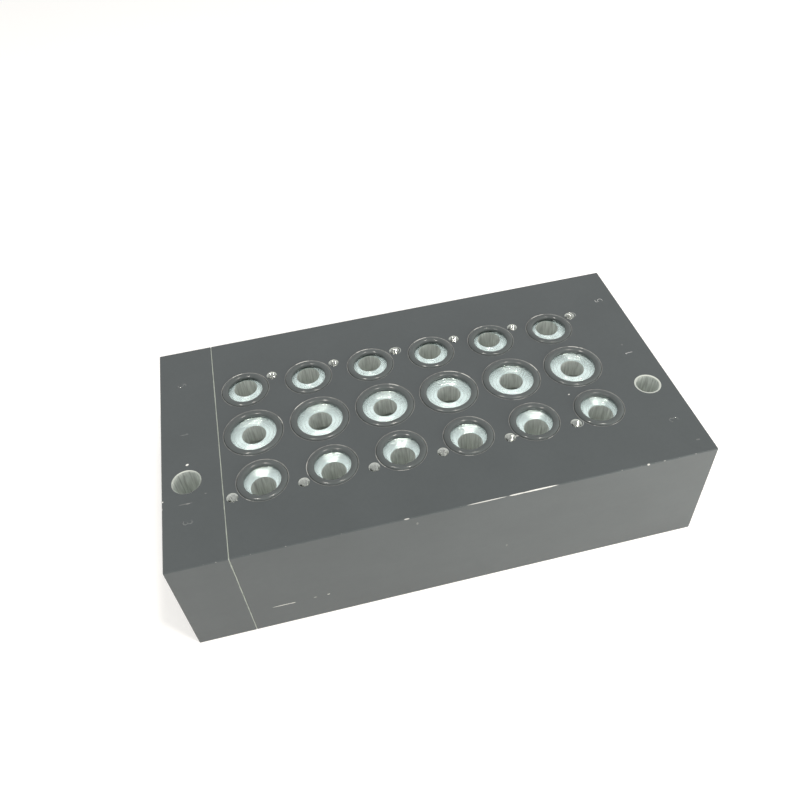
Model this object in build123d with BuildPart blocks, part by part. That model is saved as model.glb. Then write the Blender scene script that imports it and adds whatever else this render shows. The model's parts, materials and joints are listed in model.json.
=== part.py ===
"""Six-station valve manifold block, in millimetres.

A long aluminium block and a short end block are bolted together end to end. Three galleries run
lengthwise through both. Every station has one port over each gallery: a shallow counterbored seat
for an O-ring, with a bore at its bottom that drops into the gallery. The two outer bores stand off
the centre of their seats, away from the middle row, to reach galleries that lie further out. Two
tapped holes on a diagonal hold the valve of each station.

Frame: origin under the middle of the bottom face, +X along the length, +Y to the rear, +Z up.
"""

import os
from math import radians, tan

from build123d import *

os.makedirs("parts", exist_ok=True)

# ---------------------------------------------------------------- blocks
block_length = 200.0  # both blocks together
block_width = 110.0
block_height = 50.0
end_block_length = 22.0
edge_chamfer = 0.3  # outside edges of both blocks
seam_chamfer = 0.25  # edges of the two mating faces

# -------------------------------------------------------------- stations
station_count = 6
station_pitch = 26.1
first_station_from_seam = 13.5
row_spacing = 24.25  # from the middle row to each outer row
outer_row_shift = 1.0  # rear seats stand this far left of the middle row, front seats right

# ----------------------------------------------------------------- ports
middle_seat_diameter = 23.1
outer_seat_diameter = 19.1
seat_depth = 1.5
seat_edge_chamfer = 0.15
port_bore_diameter = 9.5
outer_bore_offset = 2.25  # from the seat's centre, away from the middle row

# ------------------------------------------------------------ port seals
seal_width = 2.65  # section of a ring that lies free in its seat
seal_height = 2.2
seal_side_clearance = 0.05  # ring to seat wall

# ------------------------------------------------------------- galleries
gallery_diameter = 14.0
outer_gallery_y = 33.0
outer_gallery_z = 20.0
middle_gallery_z = 34.5
gallery_port_diameter = 16.66  # pipe thread in each end, at its roots
gallery_port_depth = 13.0
gallery_port_mouth_diameter = 17.6

# ----------------------------------------------------------- valve screws
valve_screw_x = 10.4  # from the station's centre: rear hole right, front hole left
valve_screw_y = 29.5
valve_screw_hole_diameter = 4.0  # tapped for a 4 mm screw, at the thread's roots
valve_screw_mouth_diameter = 4.2
valve_screw_hole_depth = 12.0

# -------------------------------------------------------- mounting bores
mounting_bore_y = -17.7
end_mounting_bore_x_inset = 9.1  # from the left end face
main_mounting_bore_x_inset = 9.8  # from the right end face
end_mounting_bore_diameter = 10.4
main_mounting_bore_diameter = 9.0
end_mounting_mouth_diameter = 11.0
main_mounting_mouth_diameter = 10.4
end_mounting_mouth_depth = 0.3
main_mounting_mouth_depth = 0.15

# -------------------------------------------------------- joining screws
joining_screw_y = 47.0
joining_screw_inset = 9.5  # from the top and bottom faces
joining_thread_diameter = 5.4
joining_shank_diameter = 6.0
joining_head_diameter = 10.0
joining_head_height = 6.0
joining_head_chamfer = 0.6
joining_socket_width = 5.0
joining_socket_depth = 3.0
joining_head_recess = 1.0  # head below the end face
joining_thread_length = 15.0  # in the main block
joining_thread_spare = 3.0  # hole beyond the screw's tip
joining_hole_clearance = 0.3
joining_head_clearance = 0.5
thread_clearance = 0.03
tip_chamfer = 0.8

# ----------------------------------------------------------- joint seals
joint_seal_inner_diameter = 17.6
joint_seal_width = 2.1
joint_groove_depth = 1.5
joint_groove_clearance = 0.15  # ring to each groove wall

# ----------------------------------------------------------------- tools
drill_point_angle = 118.0
overrun = 1.0  # how far a cutter stands out of the face it enters

# ------------------------------------------------------- derived places
left_x = -block_length / 2
right_x = block_length / 2
seam_x = left_x + end_block_length
main_block_length = block_length - end_block_length
station_xs = [
    seam_x + first_station_from_seam + i * station_pitch for i in range(station_count)
]
seal_radii = {
    "middle": middle_seat_diameter / 2 - seal_side_clearance - seal_width / 2,
    "outer": outer_seat_diameter / 2 - seal_side_clearance - seal_width / 2,
}
# name: (seat shift along X, seat Y, bore Y, seal mean radius)
rows = {
    "rear": (-outer_row_shift, row_spacing, row_spacing + outer_bore_offset, seal_radii["outer"]),
    "middle": (0.0, 0.0, 0.0, seal_radii["middle"]),
    "front": (outer_row_shift, -row_spacing, -row_spacing - outer_bore_offset, seal_radii["outer"]),
}
galleries = {
    "rear": (outer_gallery_y, outer_gallery_z),
    "middle": (0.0, middle_gallery_z),
    "front": (-outer_gallery_y, outer_gallery_z),
}
joining_centres = [
    (y, z)
    for y in (-joining_screw_y, joining_screw_y)
    for z in (joining_screw_inset, block_height - joining_screw_inset)
]
joint_groove_inner_radius = joint_seal_inner_diameter / 2 - joint_groove_clearance
joint_groove_outer_radius = (
    joint_seal_inner_diameter / 2 + joint_seal_width + joint_groove_clearance
)
joining_counterbore_depth = joining_head_height + joining_head_recess


# ------------------------------------------------------------ hole shapes
def turned(*profile):
    """Revolve a half section about Z. The profile starts and ends on the axis, as (radius, height)."""
    with BuildPart() as cutter:
        with BuildSketch(Plane.XZ):
            with BuildLine():
                Polyline(*profile, close=True)
            make_face()
        revolve(axis=Axis.Z)
    return cutter.part


def drill_point(diameter):
    """Length of the cone at the end of a drilled hole."""
    return diameter / 2 / tan(radians(drill_point_angle / 2))


def drilled_hole(diameter, depth, mouth_diameter):
    """A blind hole down from the origin, with a countersunk mouth and a drill point."""
    radius, mouth_radius = diameter / 2, mouth_diameter / 2
    return turned(
        (0, overrun),
        (mouth_radius, overrun),
        (mouth_radius, 0),
        (radius, radius - mouth_radius),
        (radius, -depth),
        (0, -depth - drill_point(diameter)),
    )


def through_hole(diameter, mouth_diameter, mouth_depth):
    """A bore down from the origin through the whole height, opened out to a cone at both faces."""
    radius, mouth_radius = diameter / 2, mouth_diameter / 2
    return turned(
        (0, overrun),
        (mouth_radius, overrun),
        (mouth_radius, 0),
        (radius, -mouth_depth),
        (radius, mouth_depth - block_height),
        (mouth_radius, -block_height),
        (mouth_radius, -block_height - overrun),
        (0, -block_height - overrun),
    )


def port_seat(diameter):
    """A flat-bottomed O-ring seat down from the origin, with its top edge broken."""
    radius = diameter / 2
    rim_radius = radius + seat_edge_chamfer
    return turned(
        (0, overrun),
        (rim_radius, overrun),
        (rim_radius, 0),
        (radius, -seat_edge_chamfer),
        (radius, -seat_depth),
        (0, -seat_depth),
    )


def port_bore(depth):
    """A sharp-edged bore down from the origin to this depth, with a drill point."""
    radius = port_bore_diameter / 2
    return turned(
        (0, 0),
        (radius, 0),
        (radius, -depth),
        (0, -depth - drill_point(port_bore_diameter)),
    )


gallery_port = drilled_hole(gallery_port_diameter, gallery_port_depth, gallery_port_mouth_diameter)
valve_screw_hole = drilled_hole(
    valve_screw_hole_diameter, valve_screw_hole_depth, valve_screw_mouth_diameter
)
joining_screw_hole = drilled_hole(
    joining_thread_diameter + 2 * thread_clearance,
    joining_thread_length + joining_thread_spare,
    joining_shank_diameter + joining_hole_clearance,
)
end_mounting_bore = through_hole(
    end_mounting_bore_diameter, end_mounting_mouth_diameter, end_mounting_mouth_depth
)
main_mounting_bore = through_hole(
    main_mounting_bore_diameter, main_mounting_mouth_diameter, main_mounting_mouth_depth
)
seats = {
    "rear": port_seat(outer_seat_diameter),
    "middle": port_seat(middle_seat_diameter),
    "front": port_seat(outer_seat_diameter),
}
port_bores = {row: port_bore(block_height - galleries[row][1]) for row in rows}

# ------------------------------------------------------------- main block
with BuildPart() as main_block:
    with BuildSketch(Plane.YZ.offset(seam_x)):
        with Locations((0, block_height / 2)):
            Rectangle(block_width, block_height)
    extrude(amount=main_block_length)
    chamfer(
        main_block.edges().filter_by(Axis.X) + main_block.faces().sort_by(Axis.X)[-1].edges(),
        edge_chamfer,
    )
    chamfer(main_block.faces().sort_by(Axis.X)[0].edges(), seam_chamfer)

    # galleries from end to end, each with a tapped port in the right end
    with BuildSketch(Plane.YZ.offset(seam_x)):
        with Locations(*galleries.values()):
            Circle(gallery_diameter / 2)
    extrude(amount=main_block_length, mode=Mode.SUBTRACT)
    with Locations(*[Plane((right_x, y, z), z_dir=(1, 0, 0)) for y, z in galleries.values()]):
        add(gallery_port, mode=Mode.SUBTRACT)

    # stations: an O-ring seat over each gallery, and a bore from its floor into the gallery
    for row, (shift, seat_y, bore_y, _) in rows.items():
        with Locations(*[(x + shift, seat_y, block_height) for x in station_xs]):
            add(seats[row], mode=Mode.SUBTRACT)
        with Locations(*[(x + shift, bore_y, block_height) for x in station_xs]):
            add(port_bores[row], mode=Mode.SUBTRACT)
    for side in (-1, 1):
        with Locations(
            *[
                (x + side * valve_screw_x, side * valve_screw_y, block_height)
                for x in station_xs
            ]
        ):
            add(valve_screw_hole, mode=Mode.SUBTRACT)

    # tapped holes for the joining screws, and the mounting bore
    with Locations(*[Plane((seam_x, y, z), z_dir=(-1, 0, 0)) for y, z in joining_centres]):
        add(joining_screw_hole, mode=Mode.SUBTRACT)
    with Locations((right_x - main_mounting_bore_x_inset, mounting_bore_y, block_height)):
        add(main_mounting_bore, mode=Mode.SUBTRACT)

# -------------------------------------------------------------- end block
with BuildPart() as end_block:
    with BuildSketch(Plane.YZ.offset(left_x)):
        with Locations((0, block_height / 2)):
            Rectangle(block_width, block_height)
    extrude(amount=end_block_length)
    chamfer(
        end_block.edges().filter_by(Axis.X) + end_block.faces().sort_by(Axis.X)[0].edges(),
        edge_chamfer,
    )
    chamfer(end_block.faces().sort_by(Axis.X)[-1].edges(), seam_chamfer)

    with BuildSketch(Plane.YZ.offset(left_x)):
        with Locations(*galleries.values()):
            Circle(gallery_diameter / 2)
    extrude(amount=end_block_length, mode=Mode.SUBTRACT)
    with Locations(*[Plane((left_x, y, z), z_dir=(-1, 0, 0)) for y, z in galleries.values()]):
        add(gallery_port, mode=Mode.SUBTRACT)

    # face-seal grooves round the galleries, open towards the main block
    with BuildSketch(Plane.YZ.offset(seam_x)):
        with Locations(*galleries.values()):
            Circle(joint_groove_outer_radius)
            Circle(joint_groove_inner_radius, mode=Mode.SUBTRACT)
    extrude(amount=-joint_groove_depth, mode=Mode.SUBTRACT)

    # sunk holes for the joining screws, and the mounting bore
    with Locations(*[Plane((left_x, y, z), z_dir=(-1, 0, 0)) for y, z in joining_centres]):
        CounterBoreHole(
            radius=(joining_shank_diameter + joining_hole_clearance) / 2,
            counter_bore_radius=(joining_head_diameter + joining_head_clearance) / 2,
            counter_bore_depth=joining_counterbore_depth,
        )
    with Locations((left_x + end_mounting_bore_x_inset, mounting_bore_y, block_height)):
        add(end_mounting_bore, mode=Mode.SUBTRACT)

main_block.part.label = "main_block"
export_step(main_block.part, "parts/main_block.step")
end_block.part.label = "end_block"
export_step(end_block.part, "parts/end_block.step")

# ------------------------------------------------------------- port seals
for row, (shift, seat_y, _, seal_radius) in rows.items():
    for number, station_x in enumerate(station_xs, start=1):
        seat_floor = Plane((station_x + shift, seat_y, block_height - seat_depth))
        with BuildPart() as port_seal:
            with BuildSketch(Plane(seat_floor.origin, x_dir=(1, 0, 0), z_dir=(0, -1, 0))):
                with Locations((seal_radius, seal_height / 2)):
                    Ellipse(seal_width / 2, seal_height / 2)
            revolve(axis=Axis(seat_floor.origin, (0, 0, 1)))
        name = f"{row}_port_seal_{number}"
        port_seal.part.label = name
        export_step(port_seal.part, f"parts/{name}.step")

# ------------------------------------------------------------ joint seals
for gallery, (gallery_y, gallery_z) in galleries.items():
    centre = (seam_x, gallery_y, gallery_z)
    with BuildPart() as joint_seal:
        with BuildSketch(Plane(centre, x_dir=(0, 1, 0), z_dir=(0, 0, 1))):
            with Locations(
                (joint_seal_inner_diameter / 2 + joint_seal_width / 2, joint_groove_depth / 2)
            ):
                SlotOverall(joint_seal_width, joint_groove_depth)
        revolve(axis=Axis(centre, (1, 0, 0)))
    name = f"{gallery}_joint_seal"
    joint_seal.part.label = name
    export_step(joint_seal.part, f"parts/{name}.step")

# --------------------------------------------------------- joining screws
for number, (screw_y, screw_z) in enumerate(joining_centres, start=1):
    head_top_x = left_x + joining_head_recess
    head_seat_x = head_top_x + joining_head_height
    with BuildPart() as joining_screw:
        with BuildSketch(Plane((head_top_x, screw_y, screw_z), z_dir=(1, 0, 0))):
            Circle(joining_head_diameter / 2)
        extrude(amount=joining_head_height)
        chamfer(joining_screw.faces().sort_by(Axis.X)[0].edges(), joining_head_chamfer)
        with BuildSketch(Plane((head_seat_x, screw_y, screw_z), z_dir=(1, 0, 0))):
            Circle(joining_shank_diameter / 2)
        extrude(amount=seam_x - head_seat_x)
        with BuildSketch(Plane((seam_x, screw_y, screw_z), z_dir=(1, 0, 0))):
            Circle(joining_thread_diameter / 2)
        extrude(amount=joining_thread_length)
        chamfer(joining_screw.faces().sort_by(Axis.X)[-1].edges(), tip_chamfer)
        with BuildSketch(Plane((head_top_x, screw_y, screw_z), z_dir=(1, 0, 0))):
            RegularPolygon(joining_socket_width / 2, 6, major_radius=False)
        extrude(amount=joining_socket_depth, mode=Mode.SUBTRACT)
    name = f"joining_screw_{number}"
    joining_screw.part.label = name
    export_step(joining_screw.part, f"parts/{name}.step")
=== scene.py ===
"""Finish, rings, threads, stamped numbers, wear and studio for a hydraulic manifold block.

The blocks, screws and hidden joint seals are the frame's own nodes and only get their finish here. The port
rings, the threads in every tapped hole, the numbers and the burrs are surfaces worked out below from the
frame's places. Lengths are metres, and MM turns a millimetre into them.
"""

import json

import bpy
import numpy as np
from bpy.props import FloatProperty, FloatVectorProperty, IntProperty, PointerProperty
from mathutils import Euler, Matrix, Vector


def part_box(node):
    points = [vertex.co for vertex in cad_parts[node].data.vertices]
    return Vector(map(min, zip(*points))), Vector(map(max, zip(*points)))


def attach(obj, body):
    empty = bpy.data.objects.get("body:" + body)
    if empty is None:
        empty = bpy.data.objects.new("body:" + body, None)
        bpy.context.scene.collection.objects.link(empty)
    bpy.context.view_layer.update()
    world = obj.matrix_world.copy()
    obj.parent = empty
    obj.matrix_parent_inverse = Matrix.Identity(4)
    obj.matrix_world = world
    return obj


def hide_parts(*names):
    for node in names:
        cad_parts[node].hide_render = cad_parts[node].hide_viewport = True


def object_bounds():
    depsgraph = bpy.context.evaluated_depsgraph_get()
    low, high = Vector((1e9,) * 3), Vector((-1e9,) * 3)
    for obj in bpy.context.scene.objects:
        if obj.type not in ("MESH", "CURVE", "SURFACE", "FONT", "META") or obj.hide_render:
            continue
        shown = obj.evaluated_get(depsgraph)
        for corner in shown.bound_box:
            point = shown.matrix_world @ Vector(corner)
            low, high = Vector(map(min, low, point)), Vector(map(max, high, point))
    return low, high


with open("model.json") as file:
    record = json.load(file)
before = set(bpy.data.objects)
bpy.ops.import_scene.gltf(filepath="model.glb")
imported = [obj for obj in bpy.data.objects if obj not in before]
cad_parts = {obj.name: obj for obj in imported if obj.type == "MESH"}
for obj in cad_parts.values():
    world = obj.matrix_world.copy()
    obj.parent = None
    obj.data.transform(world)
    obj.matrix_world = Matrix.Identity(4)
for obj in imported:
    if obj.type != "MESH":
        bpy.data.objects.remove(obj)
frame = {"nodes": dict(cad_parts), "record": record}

bl_info = {
    "name": "Hydraulic Manifold Block Finish",
    "version": (1, 0, 0),
    "blender": (4, 5, 0),
    "location": "3D View > Sidebar > Manifold",
    "description": "Dresses a valve manifold block with its finish, rings, threads, numbers and wear",
    "category": "Object",
}

MM = 0.001
TURN = 2 * np.pi
BODY = "root"

cad_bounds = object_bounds()
block_low, block_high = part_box("end_block")[0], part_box("main_block")[1]
seam_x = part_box("main_block")[0].x
mounts = {mount["name"]: mount for mount in frame["record"]["mounts"]}
STATIONS = sum(name.startswith("valve_station") for name in mounts)
ROWS = ("rear", "middle", "front")


def node_centre(name):
    """The middle of a node's box."""
    low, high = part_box(name)
    return (low + high) / 2


def mount_place(name):
    """A round mount's centre and radius, in metres."""
    return Vector(mounts[name]["pos_m"]), mounts[name]["dims"]["r_mm"] * MM


def seal_radius(row):
    """The outer radius of a row's port seals."""
    low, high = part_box(f"{row}_port_seal_1")
    return (high.x - low.x) / 2


def tapped_hole(station, side, threads):
    """The X, Y and Z of a tapped hole's mouth. Side is 1 for a station's rear hole and -1 for its front."""
    x, y, top = mounts[f"valve_station_{station}"]["pos_m"]
    return x + side * threads.valve_offset_x, y + side * threads.valve_offset_y, top


pitch = node_centre("middle_port_seal_2").x - node_centre("middle_port_seal_1").x


# ------------------------------------------------------------------ settings
def length(name, description, millimetres):
    """A length setting, given in millimetres and kept in metres."""
    return FloatProperty(name=name, description=description, default=millimetres * MM, precision=5,
                         unit="LENGTH", subtype="DISTANCE")


def share(name, description, value):
    """A setting between 0 and 1."""
    return FloatProperty(name=name, description=description, default=value, min=0, max=1, subtype="FACTOR")


def colour(name, description, value):
    """A colour setting, in linear red, green and blue."""
    return FloatVectorProperty(name=name, description=description, default=value, min=0, max=1, size=3,
                               subtype="COLOR")


class BlockFinishSettings(bpy.types.PropertyGroup):
    """Finish of the two aluminium blocks."""

    anodised: colour("Anodised", "Colour of the anodised skin", (0.055, 0.0645, 0.067))
    seat_metal: colour("Seat metal", "Colour of the turned seat floors", (0.79, 0.92, 0.89))
    bore_metal: colour("Bore metal", "Colour of the drilled bores", (0.71, 0.75, 0.72))
    # also the colour of the painted highlights and painted lightening on the seat rims
    worn_and_painted_highlight_metal: colour("Worn metal", "Colour of edges worn bright", (0.80, 0.80, 0.76))
    anodised_roughness: share("Skin roughness", "Roughness of the anodised skin", 0.42)
    feed: length("Feed", "Distance between the tool marks on a seat floor", 0.16)
    ring_depth: length("Ring depth", "Half the height of the tool marks on a seat floor", 0.0225)
    bare_depth: length("Skin depth", "How far inside the outer faces the metal is bare", 0.35)
    cut_metal: colour("Cut metal", "Colour of the seam and of the mouths of the holes", (0.57, 0.60, 0.55))
    seam_width: length("Seam width", "Width of the bare line between the blocks", 0.3)


class SealSettings(bpy.types.PropertyGroup):
    """The O-rings in the port seats."""

    width: length("Width", "Section of a ring across", 2.65)
    rubber: colour("Rubber", "Colour of the rubber", (0.060, 0.070, 0.070))
    roughness: share("Roughness", "Roughness of the oiled rubber", 0.16)
    flash: length("Flash", "Height of the mould line round a ring", 0.025)


class ThreadSettings(bpy.types.PropertyGroup):
    """Threads in the tapped holes."""

    valve_offset_x: length("Valve hole X", "From a station's centre to its tapped holes", 10.4)
    valve_offset_y: length("Valve hole Y", "From a station's centre to its tapped holes", 29.5)
    valve_pitch: length("Valve pitch", "Pitch of the valve screws' thread", 0.7)
    valve_crest: length("Valve crest", "Crest radius of the valve screws' thread", 1.65)
    valve_mouth: length("Valve mouth", "Mouth radius of the tapped holes", 2.1)
    valve_depth: length("Valve depth", "Threaded depth of the tapped holes", 10.5)
    port_pitch: length("Port pitch", "Pitch of the gallery ports' thread", 1.337)
    port_crest: length("Port crest", "Crest radius of the gallery ports' thread", 7.48)
    port_mouth: length("Port mouth", "Mouth radius of the gallery ports", 8.8)
    metal: colour("Thread metal", "Colour of the cut threads", (0.49, 0.51, 0.48))


class NumberSettings(bpy.types.PropertyGroup):
    """Numbers stamped beside the galleries."""

    height: length("Height", "Height of a digit", 3.2)
    stroke: length("Stroke", "Width of a stroke", 0.3)
    metal: colour("Stroke metal", "Colour of the clear strokes", (0.75, 0.75, 0.72))
    faint: colour("Faint stroke", "Colour of the faint strokes", (0.30, 0.31, 0.30))


class StageSettings(bpy.types.PropertyGroup):
    """Floor, lamps and camera."""

    floor: colour("Floor", "Colour of the floor", (0.87, 0.87, 0.86))
    floor_size: length("Floor size", "Side of the square floor", 4000)
    ambient: FloatProperty(name="Ambient", description="Strength of the even light", default=0.65)
    lamp_power: FloatProperty(name="Lamp power", description="Power of each high lamp in watts", default=4.5)
    lamp_colour: colour("Lamp colour", "Colour of every lamp", (1.0, 0.94, 0.87))
    lamp_size: length("Lamp size", "Side of each square high lamp", 110)
    front_power: FloatProperty(name="Front power", description="Power of the front lamp in watts",
                               default=5.0)
    front_size: length("Front size", "Side of the square front lamp", 300)
    camera_place: FloatVectorProperty(name="Camera place", description="Where the camera stands", size=3,
                                      default=(-0.04073, -0.20328, 0.26671), subtype="TRANSLATION")
    camera_turn: FloatVectorProperty(name="Camera turn", description="The camera's turn", size=3,
                                     default=np.radians((43.61114, 3.23375, -13.04720)).tolist(),
                                     subtype="EULER")
    lens: FloatProperty(name="Lens", description="Focal length in millimetres", default=34.009)
    seed: IntProperty(name="Seed", description="Seed of what is uneven", default=5)


# -------------------------------------------------------------- node helpers
class Graph:
    """Builds one node tree: each call adds a node and returns its output."""

    def __init__(self, tree):
        self.tree = tree

    def set(self, socket, value):
        """Links an output to this socket, or sets the socket's own value."""
        if isinstance(value, bpy.types.NodeSocket):
            self.tree.links.new(value, socket)
        elif socket.type == "RGBA" and len(value) == 3:
            socket.default_value = (*value, 1)
        else:
            socket.default_value = value

    def node(self, kind, inputs, **settings):
        """A node with these settings and inputs, which are keyed by name or number."""
        made = self.tree.nodes.new(kind)
        for name, value in settings.items():
            setattr(made, name, value)
        for key, value in inputs.items():
            self.set(made.inputs[key], value)
        return made

    def math(self, operation, *values):
        """Arithmetic on numbers."""
        return self.node("ShaderNodeMath", dict(enumerate(values)), operation=operation).outputs[0]

    def vector(self, operation, *values):
        """Arithmetic on vectors that gives a vector."""
        return self.node("ShaderNodeVectorMath", dict(enumerate(values)), operation=operation).outputs[0]

    def scaled(self, vector, factor):
        """A vector or colour times a number."""
        return self.node("ShaderNodeVectorMath", {0: vector, "Scale": factor}, operation="SCALE").outputs[0]

    def size(self, vector):
        """The length of a vector."""
        return self.node("ShaderNodeVectorMath", {0: vector}, operation="LENGTH").outputs["Value"]

    def parts(self, vector):
        """The X, Y and Z of a vector."""
        return self.node("ShaderNodeSeparateXYZ", {0: vector}).outputs

    def point(self, x, y, z):
        """A vector from its three numbers."""
        return self.node("ShaderNodeCombineXYZ", {0: x, 1: y, 2: z}).outputs[0]

    def step(self, value, low, high):
        """0 at low and 1 at high, eased between them. Low may be the larger."""
        return self.node("ShaderNodeMapRange", {0: value, 1: low, 2: high},
                         interpolation_type="SMOOTHSTEP").outputs[0]

    def blend(self, factor, first, second):
        """A colour between two."""
        made = self.node("ShaderNodeMix", {0: factor, 6: first, 7: second}, data_type="RGBA")
        return made.outputs[2]

    def between(self, factor, first, second):
        """A number between two."""
        return self.node("ShaderNodeMix", {0: factor, 2: first, 3: second}).outputs[0]

    def noise(self, vector, scale, detail=2.0, roughness=0.5):
        """Soft noise about one half."""
        inputs = {"Vector": vector, "Scale": scale, "Detail": detail, "Roughness": roughness}
        return self.node("ShaderNodeTexNoise", inputs).outputs[0]

    def most(self, *values):
        """The largest of several numbers."""
        result = values[0]
        for value in values[1:]:
            result = self.math("MAXIMUM", result, value)
        return result

    def product(self, *values):
        """Several numbers multiplied."""
        result = values[0]
        for value in values[1:]:
            result = self.math("MULTIPLY", result, value)
        return result

    def group(self, name, build, inputs, outputs, **values):
        """A shared effect, built the first time it is asked for, with its inputs set. Gives its outputs."""
        tree = bpy.data.node_groups.get(name)
        if tree is None:
            tree = bpy.data.node_groups.new(name, "ShaderNodeTree")
            for label, kind in inputs.items():
                tree.interface.new_socket(name=label, in_out="INPUT", socket_type="NodeSocket" + kind)
            for label, kind in outputs.items():
                tree.interface.new_socket(name=label, in_out="OUTPUT", socket_type="NodeSocket" + kind)
            inner = Graph(tree)
            ends = inner.node("NodeGroupInput", {}).outputs
            inner.node("NodeGroupOutput", build(inner, ends))
        made = self.tree.nodes.new("ShaderNodeGroup")
        made.node_tree = tree
        for label, value in values.items():
            self.set(made.inputs[label.replace("_", " ").capitalize()], value)
        return made.outputs


# ------------------------------------------------------------ shared effects
def hole_row(graph, position, first_x, row_y):
    """Distance in the XY plane to the nearest hole axis of a row that repeats at the stations' pitch."""

    def build(inner, ends):
        x, y, _ = inner.parts(ends["Position"])
        along = inner.math("SUBTRACT", x, ends["First x"])
        index = inner.math("ROUND", inner.math("DIVIDE", along, pitch / MM))
        index = inner.math("MAXIMUM", 0, inner.math("MINIMUM", STATIONS - 1, index))
        across = inner.math("SUBTRACT", y, ends["Row y"])
        offset = inner.math("SUBTRACT", along, inner.math("MULTIPLY", index, pitch / MM))
        return {"Distance": inner.size(inner.point(offset, across, 0))}

    sockets = {"Position": "Vector", "First x": "Float", "Row y": "Float"}
    return graph.group("Distance to Hole Row", build, sockets, {"Distance": "Float"}, position=position,
                       first_x=first_x, row_y=row_y)["Distance"]


def fine_grain(graph, position):
    """Matt grain, soft mottling and handling smears. Height is millimetres; the others lie about one half."""

    def build(inner, ends):
        place = ends["Position"]
        grain = inner.noise(place, scale=9.0, detail=3.0, roughness=0.6)
        mottle = inner.noise(place, scale=0.045, detail=4.0, roughness=0.55)
        stretched = inner.vector("MULTIPLY", place, (0.03, 0.11, 0.11))
        smear = inner.noise(stretched, scale=1.0, detail=5.0, roughness=0.6)
        height = inner.math("MULTIPLY", grain, ends["Depth"])
        return {"Height": height, "Mottle": mottle, "Smear": smear}

    return graph.group("Fine Grain", build, {"Position": "Vector", "Depth": "Float"},
                       {"Height": "Float", "Mottle": "Float", "Smear": "Float"}, position=position,
                       depth=0.004)


def dust(graph, position):
    """Sparse pale specks of dust and fluff, as a mask."""

    def build(inner, ends):
        cells = inner.node("ShaderNodeTexVoronoi", {"Vector": ends["Position"], "Scale": 0.22})
        speck = inner.step(cells.outputs["Distance"], ends["Size"], 0.0)
        lot = inner.parts(cells.outputs["Color"])[0]
        return {"Mask": inner.product(speck, inner.step(lot, 0.72, 0.74))}

    return graph.group("Dust Specks", build, {"Position": "Vector", "Size": "Float"}, {"Mask": "Float"},
                       position=position, size=0.024)["Mask"]


def millimetres(graph):
    """The object's own coordinates in millimetres."""
    place = graph.node("ShaderNodeTexCoord", {}).outputs["Object"]
    return graph.vector("MULTIPLY", place, (1 / MM,) * 3)


def marks(graph, position, rows):
    """A mask of ellipsoids on or near the surface: each row is centre, sides, turn about Z and strength."""
    result = 0.0
    for centre, extent, turn, strength in rows:
        inputs = {"Vector": position, "Location": centre, "Rotation": (0, 0, np.radians(turn)),
                  "Scale": [side / 2 for side in extent]}
        near = graph.node("ShaderNodeMapping", inputs, vector_type="TEXTURE").outputs[0]
        spot = graph.product(graph.step(graph.size(near), 1.0, 0.75), strength)
        result = graph.math("MAXIMUM", result, spot)
    return result


def new_material(name):
    """An empty material, its graph and its Principled shader, already wired to the output."""
    material = bpy.data.materials.new(name)
    material.use_nodes = True
    material.node_tree.nodes.clear()
    graph = Graph(material.node_tree)
    shader = graph.node("ShaderNodeBsdfPrincipled", {})
    graph.node("ShaderNodeOutputMaterial", {"Surface": shader.outputs[0]})
    return material, graph, shader


def relief(graph, height):
    """A normal from a height in millimetres."""
    return graph.node("ShaderNodeBump", {"Height": height, "Distance": MM}).outputs[0]


# ------------------------------------------------------------------------ wear and painted rim highlights
# in millimetres
RIM_OFFSET = 0.13  # from a seal's outer radius out to the middle of its seat's rim
RIM_BAND = (0.20, 0.10)  # how far off that middle the wear starts, and where it is whole
EDGE_BAND = (0.32, 0.14)  # the same from an outer edge
SPOT_HEIGHT = 0.7  # of the spots that keep the wear and painted highlight on a rim

# bright arcs on the seat rims, partly wear and partly painted highlight where a rim catches the light:
# station, row, where round the seat's rim (degrees from +X) and how many degrees it runs
RIM_WEAR_AND_PAINTED_HIGHLIGHTS = [
    (1, "rear", 106, 30), (2, "rear", 98, 40), (3, "rear", 100, 40), (4, "rear", 106, 42),
    (5, "rear", 107, 30), (6, "rear", 102, 44), (1, "middle", 18, 26), (1, "middle", 255, 22),
    (2, "middle", 128, 30), (3, "middle", 60, 24), (4, "middle", 70, 34), (4, "middle", 38, 26),
    (5, "middle", 268, 30), (5, "middle", 20, 30), (6, "middle", 60, 40), (6, "middle", 262, 26),
    (1, "front", 235, 24), (2, "front", 175, 46), (3, "front", 200, 50), (3, "front", 262, 30),
    (4, "front", 255, 22), (5, "front", 288, 16), (6, "front", 240, 12), (6, "front", 285, 16),
]

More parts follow.
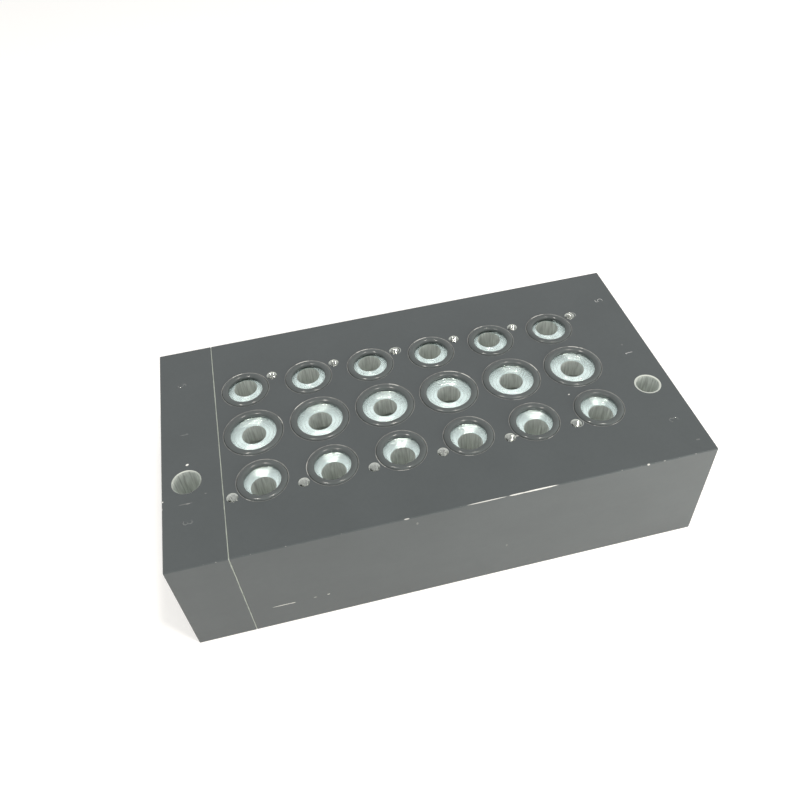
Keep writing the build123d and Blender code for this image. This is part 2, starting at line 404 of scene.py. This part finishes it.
# centre, extent along, across and up, turn about Z in degrees, and strength
BRIGHT_MARKS = [
    ((12.5, -54.9, 49.9), (17.0, 0.42, 0.42), 0, 0.75),
    ((23.5, -54.9, 49.9), (7.0, 0.55, 0.55), 0, 0.9),
    ((31.5, -54.9, 49.9), (16.0, 0.6, 0.6), 0, 0.95),
    ((-16.5, -54.9, 49.9), (2.2, 0.6, 0.6), 0, 0.5),
    ((72.8, -55.0, 50.0), (1.2, 0.9, 1.4), 0, 0.7),
    ((79.0, -55.0, 50.0), (1.5, 0.6, 0.6), 0, 0.3),
    ((88.0, -55.0, 50.0), (14.0, 0.3, 0.3), 0, 0.6),
    ((-12.9, -55.0, 46.0), (0.9, 0.4, 1.6), 0, 0.12),
    ((21.0, -55.0, 18.5), (0.8, 0.4, 1.6), 0, 0.1),
    ((-65.5, -55.0, 13.2), (9.5, 0.5, 0.45), 0, 0.75),
    ((-62.0, -55.0, 13.1), (2.0, 0.5, 0.35), 0, 1.0),
    ((-53.6, -55.0, 13.4), (1.4, 0.5, 0.9), 0, 0.2),
    ((-48.5, -55.0, 13.4), (1.2, 0.5, 0.4), 0, 1.0),
    ((-90.3, -9.6, 50.0), (1.3, 1.0, 0.5), 20, 1.0),
    ((58.6, -14.6, 50.0), (0.9, 0.6, 0.4), 20, 0.8),
    ((-100.0, -28.0, 50.0), (0.6, 1.6, 0.6), 0, 1.0),
    ((-100.0, -12.0, 50.0), (0.5, 0.9, 0.5), 0, 1.0),
    ((-100.0, 21.0, 50.0), (0.4, 3.2, 0.5), 0, 1.0),
    ((-99.6, -24.8, 50.0), (0.6, 0.6, 0.4), 0, 1.0),
    ((-91.5, -27.8, 50.0), (5.6, 0.5, 0.3), 0, 0.10),
    ((-90.6, -27.9, 50.0), (1.8, 0.5, 0.3), 0, 0.22),
    ((-84.2, -24.9, 50.0), (0.9, 0.5, 0.3), 0, 0.12),
    ((32.3, -29.4, 50.0), (2.2, 0.6, 0.3), 0, 0.5),
    ((59.7, -29.8, 50.0), (1.7, 0.5, 0.3), -30, 0.5),
    ((90.2, 6.2, 50.0), (1.0, 1.0, 0.3), 0, 0.08),
    ((95.0, -49.0, 50.0), (1.8, 0.8, 0.3), 0, 0.08),
]


def rim_wear_and_painted_highlights(graph, position):
    """Bright arcs on the rims of the seats, partly wear and partly painted highlight where a rim catches the
    light: a narrow band round every rim, kept full where a listed spot lies, with a faint painted lightening
    all round in place of the shade in the gap beside each ring.
    """
    bands = []
    for row in ROWS:
        centre = node_centre(f"{row}_port_seal_1")
        distance = hole_row(graph, position, centre.x / MM, centre.y / MM)
        off_rim = graph.math("ABSOLUTE", graph.math("SUBTRACT", distance, seal_radius(row) / MM + RIM_OFFSET))
        bands.append(graph.step(off_rim, *RIM_BAND))
    band = graph.most(*bands)
    top = block_high.z / MM
    spots = []
    for station, row, angle, run in RIM_WEAR_AND_PAINTED_HIGHLIGHTS:
        centre = node_centre(f"{row}_port_seal_{station}") / MM
        radius = seal_radius(row) / MM
        x = centre.x + radius * np.cos(np.radians(angle))
        y = centre.y + radius * np.sin(np.radians(angle))
        reach = radius * np.radians(run)
        spots.append(((x, y, top), (reach, reach, SPOT_HEIGHT), 0, 1.0))
    patchy = graph.step(graph.noise(position, scale=0.9, detail=3.0), 0.3, 0.42)
    drifting = graph.step(graph.noise(position, scale=0.35, detail=3.0), 0.42, 0.66)
    # painted light: a faint lightening all round every rim, standing in for light in the shaded gap between
    # ring and seat wall
    faint = graph.math("ADD", 0.22, graph.product(drifting, 0.2))
    return graph.product(band, graph.most(graph.product(marks(graph, position, spots), patchy), faint))


def edge_wear(graph, position, sides):
    """Specks along the outer edges. The distance to the nearest edge is the middle one of the three distances
    to the outer faces."""
    a, b, c = sides
    nearer, farther = graph.math("MINIMUM", a, b), graph.math("MAXIMUM", a, b)
    to_edge = graph.math("MAXIMUM", nearer, graph.math("MINIMUM", farther, c))
    specks = graph.step(graph.noise(position, scale=0.42, detail=4.0, roughness=0.65), 0.60, 0.66)
    return graph.product(graph.step(to_edge, *EDGE_BAND), specks, 0.4)


# ------------------------------------------------------------------ materials
# in millimetres
TAPPED_RIM = 0.1  # bare metal round the mouth of a tapped hole
MOUNTING_RIM = 0.68  # bare metal round the mouth of a mounting bore
MOUTH_FADE = 0.02  # how soon that metal ends
SKIN_FADE = 0.05  # how soon the anodised skin ends
SEAT_RIM = (0.3, 0.2)  # outside a seal's outer radius, where its seat ends

SEAT_ROUGHNESS = 0.24
BORE_ROUGHNESS = 0.6
SKIN_DUST = (0.34, 0.34, 0.32)
RUBBER_DUST = (0.30, 0.30, 0.28)
OXIDE = (0.035, 0.036, 0.04)
RUBBED_STEEL = (0.22, 0.22, 0.21)


def hole_mouths(graph, position, threads):
    """A mask over the bare mouths of the tapped holes and of the mounting bores."""
    mouths = []
    tapped = threads.valve_mouth / MM + TAPPED_RIM
    for side in (-1, 1):
        first_x, row_y, _ = tapped_hole(1, side, threads)
        distance = hole_row(graph, position, first_x / MM, row_y / MM)
        mouths.append(graph.step(distance, tapped + MOUTH_FADE, tapped))
    for name in ("end_mounting_bore", "main_mounting_bore"):
        centre, radius = mount_place(name)
        x, y, _ = graph.parts(graph.vector("SUBTRACT", position, centre / MM))
        mounting = radius / MM + MOUNTING_RIM
        mouths.append(graph.step(graph.size(graph.point(x, y, 0)), mounting + MOUTH_FADE, mounting))
    return graph.most(*mouths)


def turned_floors(graph, position, settings):
    """Height of the tool marks on the seat floors, and a mask over the seats. A mark's height is the sine of
    the distance from the seat's axis, times a depth that changes from one mark to the next."""
    height, seats = 0.0, []
    for row in ROWS:
        centre = node_centre(f"{row}_port_seal_1")
        distance = hole_row(graph, position, centre.x / MM, centre.y / MM)
        near = graph.step(distance, *(seal_radius(row) / MM + rim for rim in SEAT_RIM))
        wave = graph.math("SINE", graph.product(distance, TURN / (settings.feed / MM)))
        depth_of_cut = graph.step(graph.noise(graph.point(distance, 0, 0), scale=3.0), 0.3, 0.7)
        wave = graph.product(wave, graph.between(depth_of_cut, 0.35, 1.0), settings.ring_depth / MM)
        height = graph.math("ADD", graph.product(wave, near), height)
        seats.append(near)
    return height, graph.most(*seats)


def black_anodised(settings, threads):
    """Black anodised aluminium, machined bare in every bore and seat, worn bright along some edges, with
    painted highlights and painted lightening on the seat rims.
    """
    material, graph, shader = new_material("black_anodised_aluminium")
    position = millimetres(graph)
    x, y, z = graph.parts(position)
    half_length, half_width, top = (side / MM for side in block_high)
    seat_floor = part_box("middle_port_seal_1")[0].z / MM

    sides = [
        graph.math("SUBTRACT", half_length, graph.math("ABSOLUTE", x)),
        graph.math("SUBTRACT", half_width, graph.math("ABSOLUTE", y)),
        graph.math("MINIMUM", z, graph.math("SUBTRACT", top, z)),
    ]
    depth = graph.math("MINIMUM", graph.math("MINIMUM", *sides[:2]), sides[2])
    bare_depth = settings.bare_depth / MM
    inside = graph.step(depth, bare_depth - SKIN_FADE, bare_depth)
    below_face = graph.step(depth, 0.004, 0.012)
    mouth = graph.product(hole_mouths(graph, position, threads), below_face)

    wavy = graph.product(graph.math("SUBTRACT", graph.noise(position, scale=0.25, detail=3.0), 0.5), 0.25)
    off_seam = graph.math("ADD", graph.math("ABSOLUTE", graph.math("SUBTRACT", x, seam_x / MM)), wavy)
    half_seam = settings.seam_width / MM / 2
    seam = graph.step(off_seam, half_seam + SKIN_FADE, half_seam - SKIN_FADE)

    grain = fine_grain(graph, position)
    # bright metal: edge wear, listed marks, and the rims' wear with painted highlights and painted lightening
    bright = graph.most(rim_wear_and_painted_highlights(graph, position), edge_wear(graph, position, sides),
                        marks(graph, position, BRIGHT_MARKS))
    bare = graph.most(inside, mouth, seam)
    metal = graph.most(bare, bright)
    tool_marks, seats = turned_floors(graph, position, settings)
    seat = graph.product(inside, graph.step(z, seat_floor - 0.3, seat_floor - 0.1), seats)
    in_bore = graph.math("SUBTRACT", inside, seat)

    scored_place = graph.vector("MULTIPLY", position, (1.6, 1.6, 0.12))
    scored = graph.noise(scored_place, scale=1.0, detail=3.0)
    drilled = graph.scaled(settings.bore_metal[:], graph.between(scored, 0.42, 1.54))
    machined = graph.blend(seat, drilled, settings.seat_metal)
    outermost = graph.product(graph.most(seam, mouth), graph.math("SUBTRACT", 1, inside))
    machined = graph.blend(outermost, machined, settings.cut_metal)
    blotch = graph.noise(position, scale=0.5, detail=3.0, roughness=0.6)
    tone = graph.product(graph.between(grain["Mottle"], 0.88, 1.12), graph.between(blotch, 0.93, 1.07))
    skin = graph.scaled(settings.anodised[:], tone)
    skin = graph.blend(graph.product(dust(graph, position), 0.35), skin, SKIN_DUST)
    # the worn-bright colour here also paints the rim highlights and the lightened rim gaps
    surface = graph.blend(bright, graph.blend(bare, skin, machined), settings.worn_and_painted_highlight_metal)
    graph.set(shader.inputs["Base Color"], surface)
    graph.set(shader.inputs["Metallic"], graph.math("SUBTRACT", metal, graph.product(in_bore, 0.4)))

    smeared = graph.product(grain["Smear"], 0.12)
    skin_roughness = graph.math("ADD", settings.anodised_roughness - 0.06, smeared)
    metal_roughness = graph.between(seat, BORE_ROUGHNESS, SEAT_ROUGHNESS)
    graph.set(shader.inputs["Roughness"], graph.between(metal, skin_roughness, metal_roughness))

    streak_place = graph.vector("MULTIPLY", position, (0.3, 0.3, 5.0))
    streaks = graph.product(graph.noise(streak_place, scale=1.0, detail=2.0), in_bore, 0.08)
    turned = graph.product(tool_marks, seat)
    height = graph.math("ADD", graph.math("ADD", grain["Height"], turned), streaks)
    graph.set(shader.inputs["Normal"], relief(graph, height))
    return material


def nitrile_rubber(settings):
    """Oiled black rubber with faint dulling where it has been handled."""
    material, graph, shader = new_material("nitrile_rubber")
    position = millimetres(graph)
    grain = fine_grain(graph, position)
    tone = graph.between(grain["Smear"], 0.7, 1.4)
    rubber = graph.scaled(settings.rubber[:], tone)
    rubber = graph.blend(graph.product(dust(graph, position), 0.4), rubber, RUBBER_DUST)
    graph.set(shader.inputs["Base Color"], rubber)
    roughness = graph.math("ADD", settings.roughness - 0.08, graph.product(grain["Smear"], 0.16))
    graph.set(shader.inputs["Roughness"], roughness)
    graph.set(shader.inputs["Normal"], relief(graph, grain["Height"]))
    return material


def black_steel():
    """Black oxide on steel, rubbed through to grey here and there."""
    material, graph, shader = new_material("black_steel")
    position = millimetres(graph)
    grain = fine_grain(graph, position)
    rubbed = graph.step(graph.noise(position, scale=0.8, detail=4.0, roughness=0.6), 0.58, 0.7)
    graph.set(shader.inputs["Base Color"], graph.blend(rubbed, OXIDE, RUBBED_STEEL))
    graph.set(shader.inputs["Metallic"], graph.between(rubbed, 0.6, 0.95))
    graph.set(shader.inputs["Roughness"], graph.between(grain["Smear"], 0.3, 0.5))
    graph.set(shader.inputs["Normal"], relief(graph, grain["Height"]))
    return material


def fresh_cut(name, metal):
    """Freshly cut aluminium, a little stained."""
    material, graph, shader = new_material(name)
    position = millimetres(graph)
    grain = fine_grain(graph, position)
    stained = graph.step(graph.noise(position, scale=1.3, detail=3.0), 0.5, 0.75)
    darker = [0.7 * value for value in metal]
    graph.set(shader.inputs["Base Color"], graph.blend(stained, metal[:], darker))
    graph.set(shader.inputs["Metallic"], 1.0)
    graph.set(shader.inputs["Roughness"], graph.between(grain["Smear"], 0.08, 0.2))
    graph.set(shader.inputs["Normal"], relief(graph, grain["Height"]))
    return material


def floor_paint(colour_value):
    """Pale floor that keeps its shadows and is lifted to white for the camera and for reflections."""
    material, graph, shader = new_material("pale_floor")
    position = millimetres(graph)
    tone = graph.noise(position, scale=0.004, detail=2.0)
    darker = [0.985 * value for value in colour_value]
    graph.set(shader.inputs["Base Color"], graph.blend(tone, colour_value[:], darker))
    graph.set(shader.inputs["Roughness"], 0.85)
    graph.set(shader.inputs["Specular IOR Level"], 0.2)
    graph.set(shader.inputs["Emission Color"], (1, 1, 1))
    path = graph.node("ShaderNodeLightPath", {}).outputs
    seen = graph.most(path["Is Camera Ray"], path["Is Glossy Ray"], path["Is Transmission Ray"])
    graph.set(shader.inputs["Emission Strength"], graph.product(seen, 0.2))
    return material


def dress(node, material):
    """Gives a frame node its finish."""
    mesh = frame["nodes"][node].data
    mesh.materials.clear()
    mesh.materials.append(material)


# ------------------------------------------------------------------- surfaces
def closed_surface(name, points, material, sharp=None, capped=False):
    """A closed shell from a grid of points. Each column wraps round the section. Each row wraps too, unless
    the ends are capped with a face each. The winding is turned if the shell's signed volume comes out
    negative."""
    rows, columns = points.shape[:2]
    index = np.arange(rows * columns).reshape(rows, columns)
    last = rows - 1 if capped else rows
    down, right = np.roll(index, -1, 0), np.roll(index, -1, 1)
    corner = np.roll(down, -1, 1)
    quads = np.stack([index, right, corner, down], -1)[:last].reshape(-1, 4)
    flat = points.reshape(-1, 3)
    a, b, c, d = (flat[quads[:, k]] for k in range(4))
    volume = np.einsum("ij,ij->", np.cross(a, b), c) + np.einsum("ij,ij->", np.cross(a, c), d)
    faces = [*quads.tolist(), *([index[0, ::-1].tolist(), index[-1].tolist()] if capped else [])]
    if volume < 0:
        faces = [face[::-1] for face in faces]
    mesh = bpy.data.meshes.new(name)
    mesh.from_pydata(flat.tolist(), [], faces)
    mesh.shade_smooth()
    if sharp is not None:
        mesh.set_sharp_from_angle(angle=np.radians(sharp))
    mesh.materials.append(material)
    piece = bpy.data.objects.new(name, mesh)
    bpy.context.scene.collection.objects.link(piece)
    return piece


def taper(count, least):
    """How full a ridge is at each of so many points along it: the root of how far the point is from both
    ends, which is 1 at the middle, and never under the least."""
    along = np.linspace(0, 1, count)
    return np.clip(np.sqrt(4 * along * (1 - along)), least, 1)


SEAL_STEPS = (160, 40)  # round the ring and round its section
SEAL_UNEVEN = 0.006  # how uneven the section is, as a share of its size
SEAL_UNDERSIZE = (0.01, 0.012)  # shares across and up, which keep what is uneven in the node's box
SEAL_POWERS = (0.93, 0.9)  # across and up
MOULD_LINE = (np.pi + 0.25, 0.07)  # its place round the section and its width, in radians


def port_seal(name, settings, material, random):
    """A ring that has taken a set. With t round the ring and s round its section, the radius is the mean
    radius plus half the width times cos s, and the height is half the height times sin s, both to a power a
    little under one, which flattens the top. A fine mould line runs round the inside, and the ring is a
    little uneven."""
    node = name.removesuffix("_ring")
    low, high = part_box(node)
    centre = (low + high) / 2
    half_width, half_height = settings.width / 2, (high.z - low.z) / 2
    mean = (high.x - low.x) / 2 - half_width
    t, s = np.meshgrid(*(np.linspace(0, TURN, steps, endpoint=False) for steps in SEAL_STEPS), indexing="ij")
    phase = random.uniform(0, TURN, 3)
    waves = np.sin(2 * t + phase[0]) + 0.6 * np.sin(3 * t + phase[1]) + 0.3 * np.sin(7 * t + phase[2])
    uneven = SEAL_UNEVEN * waves
    across = np.sign(np.cos(s)) * np.abs(np.cos(s)) ** SEAL_POWERS[0]
    up = np.sign(np.sin(s)) * np.abs(np.sin(s)) ** SEAL_POWERS[1]
    mould_line = settings.flash * np.exp(-(((s - MOULD_LINE[0]) / MOULD_LINE[1]) ** 2))
    radius = mean + half_width * across * (1 + uneven - SEAL_UNDERSIZE[0]) - mould_line
    height = centre.z + half_height * up * np.where(up > 0, 1 + uneven - SEAL_UNDERSIZE[1], 1)
    points = np.stack([centre.x + radius * np.cos(t), centre.y + radius * np.sin(t), height], -1)
    ring = closed_surface(name, points, material)
    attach(ring, BODY)
    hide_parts(node)
    return ring


ROWS_PER_PITCH = 10
VALVE_STEPS = 48  # round a valve screw's thread
GALLERY_STEPS = 96  # round a gallery port's thread
ROOT_GAP = 0.01 * MM  # from the hole's wall in to the thread's root
BACK_SINK = 0.02 * MM  # from the hole's wall out to the sleeve's back
VALVE_START = 0.11 * MM  # from the face in to where the sleeve starts
GALLERY_START = 0.48 * MM
GALLERY_END = 12.5 * MM  # from the face in to where the sleeve ends
ROOT_FLAT = 0.125  # share of a sharp ridge's height that is cut off at the root
CREST_FLAT = 0.25  # the same at the crest


def thread_profile(travel, turn, thread_pitch):
    """Ridge height from 0 at the root to 1 at the crest: a triangle wave along the helix, cut flat at the
    root and at the crest."""
    phase = np.mod(travel / thread_pitch - turn / TURN, 1)
    wave = 1 - np.abs(2 * phase - 1)
    return np.clip((wave - ROOT_FLAT) / (1 - ROOT_FLAT - CREST_FLAT), 0, 1)


def thread(name, face_point, inward, root, crest, thread_pitch, mouth, start, end, steps, material):
    """A threaded sleeve in a plain hole. With t round the axis and w inward along it, the radius is the root
    less the ridge, but never less than the mouth's cone leaves. The ridge runs out over the last pitch. The
    outer wall is sunk just past the hole's."""
    rows = int(end / thread_pitch * ROWS_PER_PITCH)
    w, t = np.meshgrid(np.linspace(start, end, rows), np.linspace(0, TURN, steps, endpoint=False),
                       indexing="ij")
    ridge = thread_profile(w, t, thread_pitch)
    run_out = np.clip((end - w) / thread_pitch, 0, 1)
    inner_root = root - ROOT_GAP
    cone = np.minimum(mouth - w, inner_root)
    radius = np.maximum(inner_root - (inner_root - crest) * ridge * run_out, cone)
    outer = np.full((1, steps), root + BACK_SINK)
    radius = np.concatenate([outer, radius, outer])
    w = np.concatenate([w[:1], w, w[-1:]])
    t = np.concatenate([t[:1], t, t[-1:]])
    inward = np.array(inward, float)
    first = np.array([0, 1, 0]) if abs(inward[0]) > 0.5 else np.array([1, 0, 0])
    second = np.cross(inward, first)
    points = (np.array(face_point) + w[..., None] * inward
              + radius[..., None] * (np.cos(t)[..., None] * first + np.sin(t)[..., None] * second))
    sleeve = closed_surface(name, points, material, sharp=40)
    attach(sleeve, BODY)
    return sleeve


def line(start, end):
    """Points along a straight stroke."""
    return np.linspace(start, end, 12)


def arc(centre, radius, first, last):
    """Points round an arc, in degrees."""
    angle = np.radians(np.linspace(first, last, 28))
    return np.array(centre) + np.array(radius) * np.stack([np.cos(angle), np.sin(angle)], -1)


# strokes of each digit in a box one high and 0.6 wide, about its middle
DIGITS = {
    "1": [line((0.02, -0.5), (0.02, 0.5)), line((0.02, 0.5), (-0.16, 0.3))],
    "3": [arc((0, 0.24), (0.25, 0.26), 150, -90), arc((0, -0.24), (0.28, 0.26), 90, -150)],
    "5": [line((0.24, 0.5), (-0.2, 0.5)), line((-0.2, 0.5), (-0.24, 0.08)),
          arc((-0.02, -0.17), (0.28, 0.32), 128, -140)],
}


STROKE_LIFT = 0.012 * MM  # how far a stroke stands on the top face
STROKE_SECTION = [(-1, 0), (-0.6, 1), (0.6, 1), (1, 0)]  # shares of its half width and of its lift


def number(name, digit, centre, up, settings, material, random):
    """A stamped digit: each stroke is a thin ribbon on the top face. Its half width at a point is half the
    stroke times its taper there, and is uneven along it."""
    up = np.array(up, float)
    right = np.array([up[1], -up[0]])
    for count, stroke in enumerate(DIGITS[digit], start=1):
        path = (stroke[:, :1] * right + stroke[:, 1:] * up) * settings.height + np.array(centre)
        along = np.gradient(path, axis=0)
        along /= np.linalg.norm(along, axis=1, keepdims=True)
        side = np.stack([-along[:, 1], along[:, 0]], -1)
        half = settings.stroke / 2 * taper(len(path), least=0.2) * random.uniform(0.55, 1.1, len(path))
        points = np.stack([
            np.concatenate([path + side * (across * half)[:, None],
                            np.full((len(path), 1), block_high.z + lift * STROKE_LIFT)], 1)
            for across, lift in STROKE_SECTION
        ], 1)
        ribbon = closed_surface(f"{name}_stroke_{count}", points, material, capped=True)
        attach(ribbon, BODY)


BURR_WIDTH = 0.16 * MM  # half a burr's width at its middle
BURR_HEIGHT = 0.6  # share of that
BURR_SHIFT = (0.7 * MM, 0.1 * MM)  # from a tapped hole's axis to its burr's
# row, station, side and where the burr starts and ends round the hole, in degrees from +X
BURRS = [("rear", 3, 1, -80, 95), ("rear", 6, 1, -30, 100), ("front", 6, -1, -100, 60)]


def burr(name, centre, radius, first, last, material):
    """A raised lip pushed up beside a tapped hole: a half-round ridge along an arc, highest at its middle."""
    angle = np.radians(np.linspace(first, last, 30))
    section = np.radians(np.linspace(0, 180, 7))
    half = BURR_WIDTH * taper(len(angle), least=0.12)
    reach = radius + half[:, None] * np.cos(section)
    height = block_high.z + half[:, None] * BURR_HEIGHT * np.sin(section)
    points = np.stack([centre[0] + reach * np.cos(angle)[:, None], centre[1] + reach * np.sin(angle)[:, None],
                       height], -1)
    lip = closed_surface(name, points, material, capped=True)
    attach(lip, BODY)


# ------------------------------------------------------------------ operators
class MANIFOLD_OT_block_finish(bpy.types.Operator):
    """Finish the two blocks in black anodising with bare bores and seats"""

    bl_idname = "manifold.block_finish"
    bl_label = "Block Finish"

    def execute(self, context):
        material = black_anodised(context.scene.manifold_block, context.scene.manifold_threads)
        for node in ("main_block", "end_block"):
            dress(node, material)
        return {"FINISHED"}


class MANIFOLD_OT_fasteners_and_joint_seals(bpy.types.Operator):
    """Finish the joining screws and the seals between the blocks"""

    bl_idname = "manifold.fasteners_and_joint_seals"
    bl_label = "Fasteners and Joint Seals"

    def execute(self, context):
        steel = black_steel()
        rubber = nitrile_rubber(context.scene.manifold_seals)
        for node in frame["nodes"]:
            if node.startswith("joining_screw"):
                dress(node, steel)
            if node.endswith("joint_seal"):
                dress(node, rubber)
        return {"FINISHED"}


class MANIFOLD_OT_port_seals(bpy.types.Operator):
    """Model the O-ring in every port seat"""

    bl_idname = "manifold.port_seals"
    bl_label = "Port Seals"

    def execute(self, context):
        settings = context.scene.manifold_seals
        rubber = nitrile_rubber(settings)
        random = np.random.default_rng(context.scene.manifold_stage.seed)
        for row in ROWS:
            for station in range(1, STATIONS + 1):
                port_seal(f"{row}_port_seal_{station}_ring", settings, rubber, random)
        return {"FINISHED"}


class MANIFOLD_OT_valve_threads(bpy.types.Operator):
    """Cut the threads that take the valve screws"""

    bl_idname = "manifold.valve_threads"
    bl_label = "Valve Threads"

    def execute(self, context):
        settings = context.scene.manifold_threads
        metal = fresh_cut("valve_thread_metal", settings.metal)
        root = mounts["valve_station_1"]["dims"]["hole_r_mm"] * MM
        for station in range(1, STATIONS + 1):
            for row, side in (("rear", 1), ("front", -1)):
                place = tapped_hole(station, side, settings)
                thread(f"{row}_valve_thread_{station}", place, (0, 0, -1), root, settings.valve_crest,
                       settings.valve_pitch, settings.valve_mouth, VALVE_START, settings.valve_depth,
                       VALVE_STEPS, metal)
        return {"FINISHED"}


class MANIFOLD_OT_gallery_threads(bpy.types.Operator):
    """Cut the pipe threads in the ends of the galleries"""

    bl_idname = "manifold.gallery_threads"
    bl_label = "Gallery Threads"

    def execute(self, context):
        settings = context.scene.manifold_threads
        metal = fresh_cut("gallery_thread_metal", settings.metal)
        for row in ROWS:
            for side, sign in (("left", -1), ("right", 1)):
                centre, root = mount_place(f"{row}_gallery_port_{side}")
                place = (sign * block_high.x, centre.y, centre.z)
                thread(f"{row}_gallery_thread_{side}", place, (-sign, 0, 0), root, settings.port_crest,
                       settings.port_pitch, settings.port_mouth, GALLERY_START, GALLERY_END, GALLERY_STEPS,
                       metal)
        return {"FINISHED"}


class MANIFOLD_OT_stamped_numbers(bpy.types.Operator):
    """Stamp a plain number beside each gallery at both ends"""

    bl_idname = "manifold.stamped_numbers"
    bl_label = "Stamped Numbers"

    def execute(self, context):
        settings = context.scene.manifold_numbers
        clear = fresh_cut("clear_stroke_metal", settings.metal)
        faint = fresh_cut("faint_stroke_metal", settings.faint)
        random = np.random.default_rng(context.scene.manifold_stage.seed)
        places = [
            ("rear_number_right", "5", (92.6, 35.8), (-1, 0), clear),
            ("middle_number_right", "1", (90.9, 0.9), (-1, 0), clear),
            ("front_number_right", "3", (91.2, -37.6), (-1, 0), faint),
            ("rear_number_left", "5", (-91.0, 34.0), (1, 0), faint),
            ("middle_number_left", "1", (-91.0, 6.0), (1, 0), faint),
            ("front_number_left", "3", (-91.0, -36.0), (1, 0), faint),
        ]
        for name, digit, centre, up, material in places:
            number(name, digit, [side * MM for side in centre], up, settings, material, random)
        return {"FINISHED"}


class MANIFOLD_OT_burrs(bpy.types.Operator):
    """Raise the burrs beside three tapped holes"""

    bl_idname = "manifold.burrs"
    bl_label = "Burrs"

    def execute(self, context):
        settings = context.scene.manifold_threads
        metal = fresh_cut("burr_metal", settings.metal)
        for row, station, side, first, last in BURRS:
            x, y, _ = tapped_hole(station, side, settings)
            middle = (x + BURR_SHIFT[0], y + BURR_SHIFT[1])
            burr(f"{row}_burr_{station}", middle, settings.valve_mouth, first, last, metal)
        return {"FINISHED"}


class MANIFOLD_OT_stage(bpy.types.Operator):
    """Set the pale floor, the even light, three lamps and the camera"""

    bl_idname = "manifold.stage"
    bl_label = "Stage"

    def execute(self, context):
        settings = context.scene.manifold_stage
        half = settings.floor_size / 2
        mesh = bpy.data.meshes.new("floor")
        ground = cad_bounds[0].z
        mesh.from_pydata([(-half, -half, ground), (half, -half, ground), (half, half, ground),
                          (-half, half, ground)], [], [(0, 1, 2, 3)])
        mesh.materials.append(floor_paint(settings.floor))
        floor = bpy.data.objects.new("floor", mesh)
        context.scene.collection.objects.link(floor)

        world = bpy.data.worlds.new("studio")
        world.use_nodes = True
        world.node_tree.nodes.clear()
        graph = Graph(world.node_tree)
        path = graph.node("ShaderNodeLightPath", {}).outputs
        seen = graph.most(path["Is Camera Ray"], path["Is Glossy Ray"], path["Is Transmission Ray"])
        light = graph.node("ShaderNodeBackground", {"Strength": graph.between(seen, settings.ambient, 1.0)})
        graph.set(light.inputs["Color"], (1.0, 1.0, 1.0))
        graph.node("ShaderNodeOutputWorld", {"Surface": light.outputs[0]})
        context.scene.world = world

        # name, place, size, power and whether it shows in what is glossy
        lamps = [
            ("left_lamp", (-0.45, -0.23, 1.1), settings.lamp_size, settings.lamp_power, True),
            ("right_lamp", (0.25, -0.33, 1.2), settings.lamp_size, settings.lamp_power, True),
            ("front_lamp", (0.42, -0.36, 0.08), settings.front_size, settings.front_power, False),
        ]
        for name, place, size, power, glossy in lamps:
            lamp = bpy.data.lights.new(name, "AREA")
            lamp.shape = "SQUARE"
            lamp.size = size
            lamp.energy = power
            lamp.color = settings.lamp_colour
            holder = bpy.data.objects.new(name, lamp)
            holder.location = place
            holder.rotation_euler = (-Vector(place)).to_track_quat("-Z", "Y").to_euler()
            holder.visible_glossy = glossy
            context.scene.collection.objects.link(holder)

        camera = bpy.data.cameras.new("camera")
        camera.sensor_width = 36
        camera.lens = settings.lens
        camera.clip_start = 0.01
        stand = bpy.data.objects.new("camera", camera)
        stand.location = settings.camera_place
        stand.rotation_euler = Euler(settings.camera_turn)
        context.scene.collection.objects.link(stand)
        context.scene.camera = stand
        context.scene.view_settings.view_transform = "Standard"
        return {"FINISHED"}


class MANIFOLD_PT_panel(bpy.types.Panel):
    """The steps that dress the manifold block, and their settings"""

    bl_idname = "MANIFOLD_PT_panel"
    bl_label = "Manifold Block"
    bl_space_type = "VIEW_3D"
    bl_region_type = "UI"
    bl_category = "Manifold"

    def draw(self, context):
        for step in OPERATORS:
            self.layout.operator(step.bl_idname)
        for name, kind in SETTINGS.items():
            box = self.layout.box()
            for setting in kind.__annotations__:
                box.prop(getattr(context.scene, name), setting)


SETTINGS = {
    "manifold_block": BlockFinishSettings,
    "manifold_seals": SealSettings,
    "manifold_threads": ThreadSettings,
    "manifold_numbers": NumberSettings,
    "manifold_stage": StageSettings,
}
OPERATORS = (
    MANIFOLD_OT_block_finish,
    MANIFOLD_OT_fasteners_and_joint_seals,
    MANIFOLD_OT_port_seals,
    MANIFOLD_OT_valve_threads,
    MANIFOLD_OT_gallery_threads,
    MANIFOLD_OT_stamped_numbers,
    MANIFOLD_OT_burrs,
    MANIFOLD_OT_stage,
)


def register():
    """Adds the settings, the operators and the panel."""
    for kind in (*SETTINGS.values(), *OPERATORS, MANIFOLD_PT_panel):
        bpy.utils.register_class(kind)
    for name, kind in SETTINGS.items():
        setattr(bpy.types.Scene, name, PointerProperty(type=kind))


def unregister():
    """Takes them away again."""
    for name in SETTINGS:
        delattr(bpy.types.Scene, name)
    for kind in (MANIFOLD_PT_panel, *reversed(OPERATORS), *reversed(SETTINGS.values())):
        bpy.utils.unregister_class(kind)


def main():
    """Runs every step in order."""
    register()
    for step in OPERATORS:
        family, action = step.bl_idname.split(".")
        getattr(getattr(bpy.ops, family), action)()


if __name__ == "__main__":
    main()
